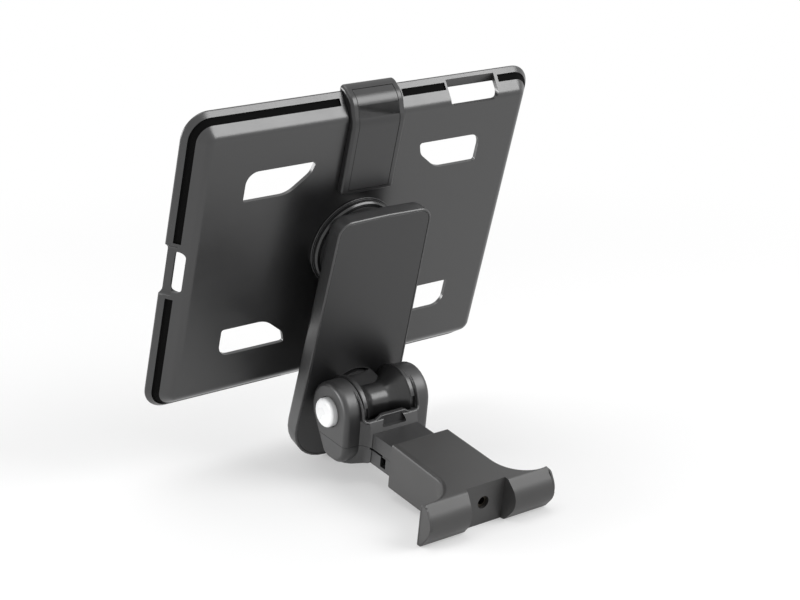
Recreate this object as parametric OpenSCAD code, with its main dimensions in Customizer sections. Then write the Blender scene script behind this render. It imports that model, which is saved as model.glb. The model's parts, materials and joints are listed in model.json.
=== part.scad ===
// Headrest tablet mount: a tray for a tablet on a swinging arm, with a tilting hinge
// and a bracket that clamps between the two posts of a car's headrest.
//
// Arm-side pieces are drawn in the tray's frame as seen from behind: x to the right,
// y up, z towards the headrest, with z = 0 on the tray's rear face and the origin on
// the tray's centre. Headrest-side pieces are drawn in the bracket's frame, with the
// origin on the tilt axis: x across, y along the bracket, z up.

/* [Tablet] */
// Width of the tablet lying sideways
tablet_w = 241.2; // [200:0.1:260]
// Height of the tablet lying sideways
tablet_h = 185.7; // [150:0.1:200]
// Thickness of the tablet
tablet_t = 9.4; // [6:0.1:11]

/* [Tray] */
// Play beside the tablet, left and right
play_w = 0.2; // [0.1:0.1:2]
// Play above and below the tablet
play_h = 1.95; // [0.5:0.05:4]
// Width of the rim outside the pocket
rim_w = 6.7; // [6:0.1:9]
// Thickness of the floor
floor_t = 2.4; // [1.8:0.1:3]
// Thickness of the front lip
lip_t = 1.4; // [1:0.1:2]
// How far the lip reaches over the tablet
lip_over = 1.4; // [0.6:0.1:2]
// Radius of the outer corners
corner_r = 16; // [16:1:32]
// Radius between the rear face and the slanted side
back_r = 7; // [4:0.5:9]
// Depth of the groove round the side
groove_deep = 1.6; // [0.8:0.1:1.8]
// Thickness of the soft band in the groove
band_t = 0.7; // [0.6:0.1:1.5]

/* [Windows] */
// Distance of each window from the upright centre line
win_in = 38.5; // [34:0.5:44]
// Length of a window
win_len = 48.5; // [30:0.5:52]
// Distance of each window from the level centre line
win_low = 44.5; // [40:0.5:50]
// Height of a window
win_h = 19.5; // [14:0.5:24]

/* [Cut-outs] */
// Length of the connector slot in the left side
plug_len = 28; // [20:1:34]
// Length of the bare land round the connector slot
plug_land = 38; // [36:1:44]
// Start of the volume and camera cut-out
cam_x0 = 57.5; // [50:0.5:66]
// Length of the volume and camera cut-out
cam_len = 38; // [24:1:40]
// Lower edge of the volume and camera cut-out
cam_y0 = 87; // [84:0.5:90]
// Centre height of the power-button slot in the right side
power_y = 72.5; // [66:0.5:73]
// Length of the power-button slot
power_len = 15; // [10:0.5:16]

/* [Retainer clip] */
// Width of the clip at its foot
clip_w = 39; // [34:0.5:44]
// Height of the clip's lower end above the tray's centre
clip_y0 = 40; // [38:0.5:46]
// Height of the clip's back over the tray at its lower end
clip_h = 5.4; // [5:0.1:6.5]
// How far the clip wraps over the top of the tray
clip_wrap = 3.2; // [2.6:0.1:5]
// Width of the cover set in the clip
cover_w = 29.6; // [26:0.2:31]
// Thickness of the cover
cover_t = 1.7; // [1.4:0.1:2]
// Travel of the clip
clip_travel = 8; // [6:1:12]

/* [Swivel hub] */
// Radius of the hub's foot
hub_r = 31; // [27:0.5:33]
// Height of the hub on the tray
hub_h = 5.2; // [4.5:0.1:6]
// Height of the swivel axis above the tray's centre
hub_y = 2; // [-4:0.5:6]
// Radius of the swivel spindle
spindle_r = 8; // [6:0.5:10]

/* [Arm] */
// Distance from the swivel axis down to the swing axis
arm_reach = 98; // [90:1:110]
// Distance from the swivel axis up to the arm's top edge
arm_top = 34.6; // [32:0.5:40]
// Distance from the swing axis down to the arm's lower end
arm_bottom = 44; // [42:0.5:50]
// Half width of the arm at the top
arm_half_top = 34.6; // [33:0.2:38]
// Half width of the arm at the bottom
arm_half_bottom = 39.6; // [38:0.2:44]
// Thickness of the arm
arm_t = 12.3; // [12:0.1:14]
// Gap between the tray's rear face and the arm
arm_gap = 16; // [14:0.5:20]
// Wall of the arm's housing
arm_wall = 2.5; // [2:0.1:3]
// Thickness of the arm's cover
arm_cover_t = 2.4; // [2:0.1:3]

/* [Knuckle] */
// Height of the tilt axis above the swing axis
axis_rise = 9.3; // [4:0.1:12]
// Distance of the tilt axis from the arm's cover
axis_off = 20; // [19.9:0.1:23]
// Radius of the spool's flanges
spool_r = 19.8; // [19:0.1:19.8]
// Width over the spool's flanges
spool_w = 39.2; // [36:0.2:44]
// Radius of the spool's waist
waist_r = 10.5; // [9:0.1:13]
// Radius of the knuckle's round foot
foot_r = 18.6; // [16.5:0.1:19]
// Radius of the opening in the arm's cover round the foot
port_r = 20.7; // [20:0.1:22]
// Radius of the tilt axle
axle_r = 5; // [4:0.1:6]

/* [Yoke] */
// Width over the ears
yoke_w = 65.2; // [60:0.2:72]
// Radius of the ears round the tilt axis
ear_r = 18.8; // [17:0.1:19]
// Depth of the yoke below the tilt axis
yoke_deep = 31; // [30:0.5:36]
// Width of the neck
neck_w = 34.2; // [30:0.2:38]
// Height of the neck
neck_h = 20; // [18:0.2:22]
// Height of the parting line below the tilt axis
part_z = -17.2; // [-18:0.1:-16]
// Wall of the hollow neck
neck_wall = 2.7; // [2:0.1:3]
// Distance from the tilt axis to the neck's inner end
neck_end = 74; // [68:1:80]

/* [Release button] */
// Radius of the button
button_r = 9.3; // [7:0.1:10]
// How far the button stands out of the ear
button_out = 3.9; // [3.4:0.1:6]
// Travel of the button
button_travel = 3; // [2:0.5:3]

/* [Bracket] */
// Distance from the tilt axis to the front of the block
block_y0 = 50.3; // [48:0.1:56]
// Distance from the tilt axis to the clamping face
face_y = 112.5; // [110:0.1:118]
// Width of the block
block_w = 43; // [40:0.5:46]
// Width over the wings
wing_w = 95; // [88:0.5:104]
// Radius of the saddles that sit against the headrest posts
saddle_r = 20; // [17:0.5:20]
// Distance of each saddle's centre from the middle
saddle_x = 42; // [41:0.5:44]
// Width of the flat clamping face
notch_w = 30; // [24:0.5:34]
// Height of the block's top above the tilt axis
block_top = -0.6; // [-3:0.1:0]
// Height of the block's underside
block_low = -31.8; // [-34:0.1:-31]
// Depth of the clamp hole's centre below the tilt axis
hole_z = -15.5; // [-17:0.1:-14]
// Bore of the threaded insert
insert_bore = 2.5; // [2:0.1:3]

/* [Pose] */
// Fold between the bracket and the arm as it stands
fold = 9.5; // [0:0.5:20]

/* [Hidden] */
$fn = 64;
eps = 0.02;
black = "#1d1e20";
dark = "#131314";
charcoal = "#2b2c2f";
steel = "#9a9da1";
silver = "#d9dadc";
brass = "#b59a5b";

// Tray, worked out from the tablet
tray_w = tablet_w + 2 * (play_w + rim_w);
tray_h = tablet_h + 2 * (play_h + rim_w);
pocket_deep = tablet_t + 0.2;
tray_t = lip_t + pocket_deep + floor_t;
bevel_edge = 1.2;
corner_x = tray_w / 2 - corner_r;
corner_y = tray_h / 2 - corner_r;
// Side slant: this far from the outline at the rear face, running out at 45 degrees
slant = tray_t - bevel_edge;
groove_z0 = -6;
groove_z1 = -9.4;
lip_front = -tray_t;
floor_in = -floor_t;
wall_t = 1.7;
inner_slant = slant + wall_t * sqrt(2) + groove_deep;

// Heights in the tray's frame
arm_z0 = arm_gap;
arm_z1 = arm_gap + arm_t;
axis_z = arm_z1 + axis_off;
swing_y = hub_y - arm_reach;
axis_y = swing_y + axis_rise;
arm_y1 = hub_y + arm_top;
arm_y0 = swing_y - arm_bottom;
arm_draft = 0.4;
arm_edge = 0.5;
run = 0.05;
gap = 0.25;

// Clip
clip_r = 2.2;
cover_end = -9;
rail_z1 = 1.35;
rail_z2 = 2.65;
rail_foot = 14;
rail_head = 21.2;
rail_y0 = 60;
rail_y1 = 85;
window_y0 = 62;
window_y1 = 83;
window_x = 4.2;
window_w = 4;
lug_t = 2.6;

// Yoke and bracket
ear_in = spool_w / 2 + 0.4;
ear_out = yoke_w / 2;
ear_soft = 3.2;
ear_bend = 3.8;
fork_r = spool_r + 0.8;
neck_top = part_z + neck_h / 2 + 0.2;
neck_low = part_z - neck_h / 2 + 0.2;
seam = 0.2;
pocket_x = ear_out - 8.3;
washer_deep = 1.4;
stem_x = 12;
nose_y = face_y + 13.6;
nose_r = 13;
tip_r = 3.2;
tip = [face_y + 3.2, -30];
cap_t = 1.4;
stop_gap = 22;
stop_size = 8;
stop_top = -2;
stop_other = 26;
rim_cut_r = spool_r - 1.8;

// Resting pose: the arm's lower edge and the wings' lower tips stand at one level
foot_edge = [arm_z1 - arm_edge - axis_z, arm_y0 - axis_y];
tip_c = fillet_centre([nose_y, hole_z], tip, [84, block_low + 0.6], tip_r);
tip_case = [tip_c[0] * cos(fold) - tip_c[1] * sin(fold), tip_c[0] * sin(fold) + tip_c[1] * cos(fold)];
reach = norm(tip_case - foot_edge);
lean = atan2(tip_case[1] - foot_edge[1], tip_case[0] - foot_edge[0]) - asin(tip_r / reach);
slope = lean - fold;
axis_h = foot_edge[0] * sin(lean) - foot_edge[1] * cos(lean);
// Front is the lower lip's rounded edge, rear is the bracket's nose
lip_round = 0.7;
lip_c = [-tray_h / 2 + lip_round - axis_y, lip_front + lip_round - axis_z];
front_y = lip_c[0] * sin(lean) + lip_c[1] * cos(lean) - lip_round;
nose_c = fillet_centre(tip, [nose_y, hole_z], [face_y + 2.4, block_top - 2.2], nose_r);
rear_y = nose_c[0] * cos(slope) + nose_c[1] * sin(slope) + nose_r;
axis_place = [0, -(front_y + rear_y) / 2, axis_h];

// Rounding of corner b between a and c with radius r
function unit(v) = v / norm(v);
function corner_angle(a, b, c) = acos(max(-1, min(1, unit(a - b) * unit(c - b))));
function fillet_centre(a, b, c, r) =
    b + unit(unit(a - b) + unit(c - b)) * r / sin(corner_angle(a, b, c) / 2);
function fillet(a, b, c, r, n) =
    r < 0.01 ? [b] :
    let(m = fillet_centre(a, b, c, r),
        cut = r / tan(corner_angle(a, b, c) / 2),
        p = b + unit(a - b) * cut - m,
        q = b + unit(c - b) * cut - m,
        sweep = 180 - corner_angle(a, b, c),
        turn = sign(p[0] * q[1] - p[1] * q[0]))
    [for (i = [0:n]) let(t = turn * sweep * i / n)
        m + [p[0] * cos(t) - p[1] * sin(t), p[0] * sin(t) + p[1] * cos(t)]];
// Polygon through points [x, y, radius] with rounded corners
function rounded(pts, n = 6) =
    [for (i = [0:len(pts) - 1])
        let(a = pts[(i + len(pts) - 1) % len(pts)], b = pts[i], c = pts[(i + 1) % len(pts)])
        each fillet([a[0], a[1]], [b[0], b[1]], [c[0], c[1]], b[2], n)];
function total(v, i = 0) = i == len(v) - 1 ? v[i] : v[i] + total(v, i + 1);
function area(pts) = total([for (i = [0:len(pts) - 1])
    let(a = pts[i], b = pts[(i + 1) % len(pts)]) (a[0] * b[1] - b[0] * a[1]) / 2]);
function left_of(v) = [-v[1], v[0]];
// The same points with every edge moved inwards by e
function inset(pts, e) =
    let(s = sign(area(pts)), n = len(pts))
    [for (i = [0:n - 1])
        let(a = pts[(i + n - 1) % n], b = pts[i], c = pts[(i + 1) % n],
            u = unit([b[0] - a[0], b[1] - a[1]]), v = unit([c[0] - b[0], c[1] - b[1]]),
            p = s * left_of(u), q = s * left_of(v),
            outward = s * (u[0] * v[1] - u[1] * v[0]) > 0,
            place = [b[0], b[1]] + (p + q) * e / (1 + p * q))
        [place[0], place[1], b[2] < 0.01 ? 0 : max(0.2, outward ? b[2] - e : b[2] + e)]];

// Places a piece of the arm side, drawn as seen from behind the tray
module in_tray_frame() {
    translate(axis_place) rotate([-lean, 0, 0]) rotate([90, 0, 180]) translate([0, -axis_y, -axis_z])
        children();
}

// Places a piece of the bracket side
module in_bracket_frame() {
    translate(axis_place) rotate([-slope, 0, 0]) children();
}

// Solid through rings of points, all with the same count. A hollow outline gives its end
// faces as a list of convex faces, in the first ring's point numbers.
module loft(rings, cap = undef) {
    n = len(rings[0]);
    m = len(rings);
    points = [for (ring = rings) each ring];
    normal = total([for (i = [0:n - 1]) cross(rings[0][i], rings[0][(i + 1) % n])]);
    forward = normal * (rings[m - 1][0] - rings[0][0]) > 0;
    sides = [for (j = [0:m - 2]) for (i = [0:n - 1])
        each [[j * n + i, (j + 1) * n + i, j * n + (i + 1) % n],
            [j * n + (i + 1) % n, (j + 1) * n + i, (j + 1) * n + (i + 1) % n]]];
    top = (m - 1) * n;
    low = is_undef(cap) ? [[for (i = [0:n - 1]) i]] : cap;
    high = [for (f = low) [for (k = [len(f) - 1:-1:0]) top + f[k]]];
    faces = concat(low, sides, high);
    polyhedron(points, forward ? faces : [for (f = faces) [for (k = [len(f) - 1:-1:0]) f[k]]],
        convexity = 8);
}

module x_cylinder(x0, x1, r, r2 = undef) {
    translate([x0, 0, 0]) rotate([0, 90, 0]) cylinder(x1 - x0, r, is_undef(r2) ? r : r2);
}

// Screw along +z with its head's top at z = 0 and its shank above
module screw(head_r, head_t, shank_r, length, hex = 1.5) {
    difference() {
        union() {
            cylinder(head_t, head_r, head_r);
            cylinder(length, shank_r, shank_r);
        }
        translate([0, 0, -eps]) cylinder(head_t * 0.6, hex, hex, $fn = 6);
    }
}

// Helical spring along z; ends ground flat are left to the eye
module coil(r, wire, length, turns, steps = 12, sides = 6) {
    count = turns * steps;
    rise = length - 2 * wire;
    points = [for (i = [0:count]) let(a = 360 * i / steps, h = wire + rise * i / count)
        for (k = [0:sides - 1]) let(b = 360 * k / sides, q = r + wire * cos(b))
            [q * cos(a), q * sin(a), h + wire * sin(b)]];
    skin = [for (i = [0:count - 1]) for (k = [0:sides - 1])
        let(a = i * sides + k, b = i * sides + (k + 1) % sides)
        each [[a, b, a + sides], [b, b + sides, a + sides]]];
    ends = [[for (k = [0:sides - 1]) k], [for (k = [0:sides - 1]) count * sides + sides - 1 - k]];
    polyhedron(points, [for (face = concat(skin, ends)) [for (i = [len(face) - 1:-1:0]) face[i]]]);
}

// A section swept round the tray: children are drawn with x = distance from a corner's centre
module round_tray() {
    for (sx = [-1, 1]) for (sy = [-1, 1])
        translate([sx * corner_x, sy * corner_y, 0])
            rotate([0, 0, sx > 0 ? (sy > 0 ? 0 : 270) : (sy > 0 ? 90 : 180)])
                rotate_extrude(angle = 90) children();
    for (side = [0, 180]) rotate([0, 0, side]) {
        translate([corner_x, corner_y, 0]) rotate([90, 0, 0])
            linear_extrude(2 * corner_y) children();
        translate([-corner_x, corner_y, 0]) rotate([90, 0, 90])
            linear_extrude(2 * corner_x) children();
    }
}

// Wall and edge of the floor; v is the distance inwards from the outline
function at(v, z, r = 0) = [corner_r - v, z, r];
module wall_section() {
    arc_v = slant + back_r * tan(22.5);
    polygon(rounded([
        at(slant, 0, back_r),
        at(0, -slant, 1),
        at(0, lip_front, lip_round),
        at(rim_w + lip_over, lip_front, 0.5),
        at(rim_w + lip_over, lip_front + lip_t),
        at(rim_w, lip_front + lip_t),
        at(rim_w, rim_w - inner_slant, 1.5),
        at(inner_slant - floor_t, floor_in, 2),
        [0, floor_in, 0],
        [0, 0, 0]]));
}

// Strip along the slanted side between the groove's edges, from depth d0 to depth d1
module groove_section(d0, d1, inset) {
    s = sqrt(0.5);
    a = at(slant + groove_z0 - inset * s, groove_z0 - inset * s);
    b = at(slant + groove_z1 + inset * s, groove_z1 + inset * s);
    polygon([
        [a[0] - d0 * s, a[1] - d0 * s], [b[0] - d0 * s, b[1] - d0 * s],
        [b[0] - d1 * s, b[1] - d1 * s], [a[0] - d1 * s, a[1] - d1 * s]]);
}

// Bare lands that interrupt the groove: under the clip, at each cut-out and below the arm
module lands(grow) {
    wide = clip_w + 6.8;
    cam_land = cam_len + 4;
    translate([-wide / 2 - grow, 0, -tray_t]) cube([wide + 2 * grow, tray_h, tray_t + 1]);
    translate([-tray_w, -plug_land / 2 - grow, -tray_t]) cube([tray_w, plug_land + 2 * grow, tray_t + 1]);
    translate([cam_x0 - 1.5 - grow, cam_y0 - 1, -tray_t]) cube([cam_land + 2 * grow, tray_h, tray_t + 1]);
    translate([0, power_y - power_len / 2 - 1.5 - grow, -tray_t])
        cube([tray_w, power_len + 3 + 2 * grow, tray_t + 1]);
    translate([-30 - grow, -tray_h, -tray_t]) cube([60 + 2 * grow, tray_h, tray_t + 1]);
}

module window_outline() {
    polygon(rounded([
        [win_in, win_low + win_h, 1.6],
        [win_in + win_len, win_low + win_h, 8],
        [win_in + win_len, win_low, 1.6],
        [win_in + 17, win_low, 16],
        [win_in + 2.5, win_low + win_h - 8, 8]], 8));
}

// Round-ended slot through the side wall, along x
module side_slot(length, height, z, y) {
    translate([0, y, z]) rotate([0, 90, 0]) linear_extrude(tray_w) {
        square([height, length - height], center = true);
        translate([0, (length - height) / 2]) circle(height / 2);
        translate([0, (height - length) / 2]) circle(height / 2);
    }
}

module tablet_tray() {
    plug_h = 7;
    color(black) in_tray_frame() difference() {
        union() {
            round_tray() wall_section();
            translate([-corner_x, -corner_y, floor_in]) cube([2 * corner_x, 2 * corner_y, floor_t]);
        }
        difference() {
            round_tray() groove_section(-1, groove_deep, 0);
            lands(0);
        }
        for (mx = [0, 1]) for (my = [0, 1]) mirror([mx, 0, 0]) mirror([0, my, 0])
            translate([0, 0, floor_in - 1]) linear_extrude(floor_t + 2) window_outline();
        rotate([0, 0, 180]) side_slot(plug_len, plug_h, groove_z0 - 0.6, 0);
        translate([-tray_w / 2 - 1, 0, -slant - 0.6]) rotate([0, 45, 0])
            linear_extrude(8) polygon(rounded([
                [-11, -plug_len / 2 - 3.4, 4], [3, -plug_len / 2 - 3.4, 4],
                [3, plug_len / 2 + 3.4, 4], [-11, plug_len / 2 + 3.4, 4]]));
        side_slot(power_len - 1, 5, groove_z0 - 1.7, power_y);
        translate([0, 0, groove_z1 - 1.1]) linear_extrude(tray_t) polygon(rounded([
            [cam_x0, cam_y0, 2.5], [cam_x0 + cam_len, cam_y0, 5],
            [cam_x0 + cam_len, tray_h / 2 + 1, 0], [cam_x0, tray_h / 2 + 1, 0]]));
        for (a = [45:90:315]) translate([0, hub_y, floor_in]) rotate([0, 0, a]) translate([22, 0, 0]) {
            translate([0, 0, -1]) cylinder(floor_t + 2, 1.75, 1.75);
            translate([0, 0, -eps]) cylinder(1.65, 3.4, 1.75);
        }
        for (y = [window_y0 + 2, window_y1 - 2]) translate([0, y, floor_in]) {
            translate([0, 0, -1]) cylinder(floor_t + 2, 1.05, 1.05);
            translate([0, 0, -eps]) cylinder(1.1, 2.2, 1.05);
        }
    }
}

module edge_band() {
    color(dark) in_tray_frame() difference() {
        round_tray() groove_section(groove_deep - band_t, groove_deep, 0.1);
        lands(0.15);
    }
}

module clip_rail() {
    color(charcoal) in_tray_frame() difference() {
        translate([0, (rail_y0 + rail_y1) / 2, 0]) union() {
            translate([0, 0, rail_z1 / 2]) cube([rail_foot, rail_y1 - rail_y0, rail_z1], center = true);
            translate([0, 0, (rail_z1 + rail_z2) / 2])
                cube([rail_head, rail_y1 - rail_y0, rail_z2 - rail_z1 + eps], center = true);
        }
        for (sx = [-1, 1]) translate([sx * window_x - window_w / 2, window_y0, -1])
            cube([window_w, window_y1 - window_y0, rail_z2 + 2]);
        for (y = [window_y0 + 2, window_y1 - 2]) translate([0, y, -1]) cylinder(rail_z2 - 0.2, 0.95, 0.95);
    }
}

module rail_screws() {
    color(steel) in_tray_frame() for (y = [window_y0 + 2, window_y1 - 2])
        translate([0, y, floor_in]) {
            cylinder(1, 2, 1);
            cylinder(floor_t + 1.4, 0.93, 0.93);
        }
}

module hub_flange() {
    foot_h = 1.6;
    color(black) in_tray_frame() translate([0, hub_y, 0]) difference() {
        union() {
            rotate_extrude() polygon([[0, 0], [hub_r, 0], [hub_r, foot_h - 0.3], [hub_r - 0.3, foot_h],
                [hub_r - 1.2, foot_h], [hub_r - 1.2, hub_h - 1.1], [hub_r - 2.3, hub_h], [0, hub_h]]);
            cylinder(arm_z0 + arm_wall + 0.4, spindle_r, spindle_r);
        }
        for (a = [45:90:315]) rotate([0, 0, a]) translate([22, 0, -1]) cylinder(hub_h, 1.3, 1.3);
        translate([0, 0, arm_z0 - 6]) cylinder(arm_wall + 7, 2.45, 2.45);
    }
}

module hub_screws() {
    color(steel) in_tray_frame() for (a = [45:90:315])
        translate([0, hub_y, floor_in]) rotate([0, 0, a]) translate([22, 0, 0]) difference() {
            union() {
                cylinder(1.5, 3.2, 1.6);
                cylinder(floor_t + hub_h - 1.6, 1.28, 1.28);
            }
            translate([0, 0, -eps]) cylinder(0.9, 1.1, 1.1, $fn = 6);
        }
}

module swivel_washer() {
    color(steel) in_tray_frame() translate([0, hub_y, arm_z0 + arm_wall + 0.4]) difference() {
        cylinder(1.6, 15, 15);
        translate([0, 0, -1]) cylinder(4, 2.6, 2.6);
    }
}

module swivel_screw() {
    length = 8.4;
    color(steel) in_tray_frame() translate([0, hub_y, arm_z0 + arm_wall + 4.9]) rotate([180, 0, 0])
        screw(4.6, 2.9, 2.4, length, 2);
}

// Outer faces of the clip in [y, z], from its back round the top to its front
clip_top = tray_h / 2 + clip_wrap;
clip_skin = [
    [clip_y0 - 30, clip_h + 0.6, 0],
    [tray_h / 2 - 14.5, clip_h - 0.9, 14],
    [tray_h / 2 - 1.5, -2.4, 12],
    [clip_top, -11.6, 9],
    [clip_top, -40, 0],
    [clip_y0 - 30, -40, 0]];
// Side view of the clip, with its outer faces drawn in by e
function clip_side(e) = let(skin = inset(clip_skin, e), hook_z = lip_front - 2.4 + e) rounded([
    [clip_y0 + e, clip_h - e, 1.2],
    skin[1], skin[2], skin[3],
    [clip_top - e, hook_z, max(2 - e, 0.4)],
    [tray_h / 2 - rim_w, hook_z, 0.15],
    [tray_h / 2 - rim_w, lip_front - 0.3, 0],
    [tray_h / 2 + 0.35, lip_front - 0.3, 0],
    [tray_h / 2 + 0.35, -slant + 0.15, 0],
    [tray_h / 2 - slant + 0.15, 0.35, 5],
    [clip_y0 + e, 0.35, 0]]);

// Triangles that fill the clip's side view: along the back, round the corner, down the
// slant and along the hook
clip_end = concat(
    [for (i = [0:12]) [52, i, i + 1]],
    [for (i = [52:-1:46]) [i, 13, i - 1]],
    [for (i = [13:19]) [45, i, i + 1]],
    [[45, 20, 44]],
    [for (i = [20:33]) [44, i, i + 1]],
    [[44, 34, 43]],
    [for (i = [34:41]) [43, i, i + 1]]);

// The strip of the clip's outer skin that the cover fills, in [y, z]
module cover_side(skin, lower, upper) {
    intersection() {
        difference() {
            polygon(rounded(clip_skin));
            polygon(rounded(inset(clip_skin, skin)));
        }
        translate([lower, upper]) square([clip_top + 1 - lower, 30]);
    }
}

// Turns a drawing in [y, z] into a solid w wide across x
module across(w) {
    rotate([90, 0, 90]) translate([0, 0, -w / 2]) linear_extrude(w) children();
}

module clip_frame() {
    flange_x = rail_foot / 2 + 0.3;
    head_x = rail_head / 2 + 0.3;
    half = clip_w / 2;
    color(black) in_tray_frame() difference() {
        loft([for (s = [-1, 1]) for (k = [0:4])
            let(a = s < 0 ? k * 22.5 : 90 - k * 22.5, e = clip_r * (1 - sin(a)),
                x = s * (half - clip_r + clip_r * cos(a)))
            [for (p = clip_side(e)) [x, p[0], p[1]]]], cap = clip_end);
        across(cover_w + 2 * gap) cover_side(cover_t, clip_y0 + 2.6 - gap, cover_end - gap);
        translate([-head_x, rail_y0 - clip_travel - 1, rail_z1 - 0.25])
            cube([2 * head_x, rail_y1 - rail_y0 + clip_travel + 2, 10]);
        translate([-flange_x, rail_y0 - clip_travel - 1, -1])
            cube([2 * flange_x, rail_y1 - rail_y0 + clip_travel + 2, 10]);
    }
}

module clip_cover() {
    color(charcoal) in_tray_frame() {
        across(cover_w) cover_side(cover_t - 0.05, clip_y0 + 2.6, cover_end);
        for (sx = [-1, 1])
            translate([sx * window_x - window_w / 2 + 0.4, window_y0 + 0.3, 0.5])
                cube([window_w - 0.8, lug_t, clip_h - 1.7]);
    }
}

module clip_springs() {
    start = window_y0 + 0.3 + lug_t + clip_travel + 0.2;
    color(steel) in_tray_frame() for (sx = [-1, 1])
        translate([sx * window_x, start, 1.62]) rotate([-90, 0, 0])
            coil(1.02, 0.2, window_y1 - start - 0.1, 7);
}

// Outline of the arm, drawn in by e
arm_corners = [
    [-arm_half_top, arm_y1 - 0.9, 9.5],
    [0, arm_y1, 150],
    [arm_half_top, arm_y1 - 0.9, 9.5],
    [arm_half_bottom, arm_y0, 28],
    [-arm_half_bottom, arm_y0, 28]];
function arm_outline(e) = rounded(inset(arm_corners, e), 8);
arm_screw_places = [
    for (sx = [-1, 1]) each [[sx * 27, hub_y + 23.5], [sx * 29.5, swing_y + 44], [sx * 21, swing_y - 33.5]]];

module arm_shell() {
    soft = 4;
    rebate_z = arm_z1 - arm_cover_t - 0.1;
    socket_r = spindle_r + 1.05;
    profile = concat(
        [for (k = [0:3]) let(a = 90 - k * 22.5) [arm_z0 + soft * (1 - sin(a)), arm_draft + soft * (1 - cos(a))]],
        [[arm_z0 + soft, arm_draft], [arm_z1 - arm_edge, 0], [arm_z1, arm_edge]]);
    color(black) in_tray_frame() difference() {
        union() {
            difference() {
                loft([for (p = profile) [for (q = arm_outline(p[1])) [q[0], q[1], p[0]]]]);
                translate([0, 0, arm_z0 + arm_wall]) linear_extrude(arm_t) polygon(arm_outline(arm_wall + 1.4));
                translate([0, 0, rebate_z]) linear_extrude(arm_t) polygon(arm_outline(1.4));
            }
            translate([0, hub_y, hub_h + 0.3]) cylinder(arm_z0 - hub_h + 0.7, hub_r - 4, hub_r - 4);
            translate([0, swing_y, arm_z0 + 1]) cylinder(arm_z1 - arm_z0 - arm_cover_t - 3.9, 11.8, 11.8);
            for (p = arm_screw_places) translate([p[0], p[1], arm_z0 + 1])
                cylinder(rebate_z - arm_z0 - 1, 3.6, 3.6);
            for (sx = [-1, 1]) translate([sx * 13 - 0.8, swing_y + 27, arm_z0 + 1]) cube([1.6, 50, 7]);
            for (y = [swing_y + 30, swing_y + 50, swing_y + 70])
                translate([-arm_half_top + 3, y - 0.8, arm_z0 + 1]) cube([2 * arm_half_top - 6, 1.6, 4]);
        }
        translate([0, hub_y, 0]) cylinder(arm_z1, spindle_r + run, spindle_r + run);
        translate([0, swing_y, arm_z0 + 1.2]) cylinder(arm_t, socket_r, socket_r);
        for (p = arm_screw_places) translate([p[0], p[1], arm_z0 - 1]) {
            cylinder(arm_t + 1, 1.6, 1.6);
            cylinder(4.4, 3, 3);
        }
    }
}

module arm_cover() {
    color(charcoal) in_tray_frame() translate([0, 0, arm_z1 - arm_cover_t - 0.1]) difference() {
        union() {
            linear_extrude(arm_cover_t) polygon(arm_outline(1.4 + gap));
        }
        translate([0, swing_y, -1]) cylinder(arm_cover_t + 2, port_r, port_r);
        for (p = arm_screw_places) translate([p[0], p[1], -1]) cylinder(arm_cover_t + 0.2, 1.35, 1.35);
    }
}

module arm_screws() {
    color(steel) in_tray_frame() for (p = arm_screw_places) translate([p[0], p[1], arm_z0 + 1.6])
        screw(2.7, 1.7, 1.32, arm_t - 3.2, 1.2);
}

// Radius of the spool's waist flare at distance x from the middle
function flare(x) = waist_r + (spool_r - 0.9 - waist_r) * pow(max(0, (x - 5.6) / (spool_w / 2 - 8.9)), 1.6);

module knuckle() {
    half = spool_w / 2;
    rim_x = half - 3.2;
    foot_z = arm_z1 + 0.7;
    ring_z = arm_z1 - arm_cover_t - 0.2;
    color(black) in_tray_frame() difference() {
        union() {
            translate([0, axis_y, axis_z]) rotate([0, 90, 0]) rotate_extrude() polygon(concat(
                [[0, -half], [spool_r - 0.5, -half], [spool_r, -half + 0.5], [spool_r, -rim_x - 0.4],
                    [spool_r - 0.5, -rim_x]],
                [for (i = [0:16]) let(x = rim_x - 2 * rim_x * i / 16) [flare(abs(x)), -x]],
                [[spool_r - 0.5, rim_x], [spool_r, rim_x + 0.4], [spool_r, half - 0.5], [spool_r - 0.5, half],
                    [0, half]]));
            translate([0, swing_y, ring_z]) cylinder(foot_z - ring_z, foot_r, foot_r);
            translate([-12, axis_y - 15, arm_z1]) cube([24, 23, axis_off - 2]);
        }
        translate([0, axis_y, axis_z]) {
            x_cylinder(-half - 1, half + 1, axle_r + 2.02);
            rim_stops(rim_x, half);
        }
        for (a = [45:90:315]) translate([0, swing_y, ring_z - 1]) rotate([0, 0, a]) translate([15.2, 0, 0])
            cylinder(4.6, 1.25, 1.25);
    }
}

// Part of a ring about the x axis, from angle a0 to angle a1 measured from +y towards +z
module ring_sector(x0, x1, r0, r1, a0, a1) {
    n = 12;
    translate([x0, 0, 0]) rotate([90, 0, 90]) linear_extrude(x1 - x0) difference() {
        polygon(concat([[0, 0]], [for (i = [0:n]) let(a = a0 + (a1 - a0) * i / n) r1 * [cos(a), sin(a)]]));
        circle(r0);
    }
}

// The part of each flange's rim that is cut back, so that a stop in the yoke limits the tilt
module rim_stops(rim_x, half) {
    high = 90 - fold + stop_size - stop_top + stop_other + 2;
    low = 90 - fold - stop_gap - stop_top - 1;
    ring_sector(rim_x, half + 1, rim_cut_r, spool_r + 2, low, high);
    ring_sector(-half - 1, -rim_x, rim_cut_r, spool_r + 2, low, high);
}

module knuckle_base() {
    z1 = arm_z1 - arm_cover_t - 0.4;
    color(steel) in_tray_frame() translate([0, swing_y, 0]) difference() {
        union() {
            translate([0, 0, z1 - 2]) cylinder(2.2, foot_r + 4.6, foot_r + 4.6);
            translate([0, 0, arm_z0 + 1.6]) cylinder(z1 - arm_z0 - 2, spindle_r + 1, spindle_r + 1);
        }
        for (a = [45:90:315]) rotate([0, 0, a]) translate([15.2, 0, z1 - 3]) cylinder(4, 1.5, 1.5);
    }
}

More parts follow.
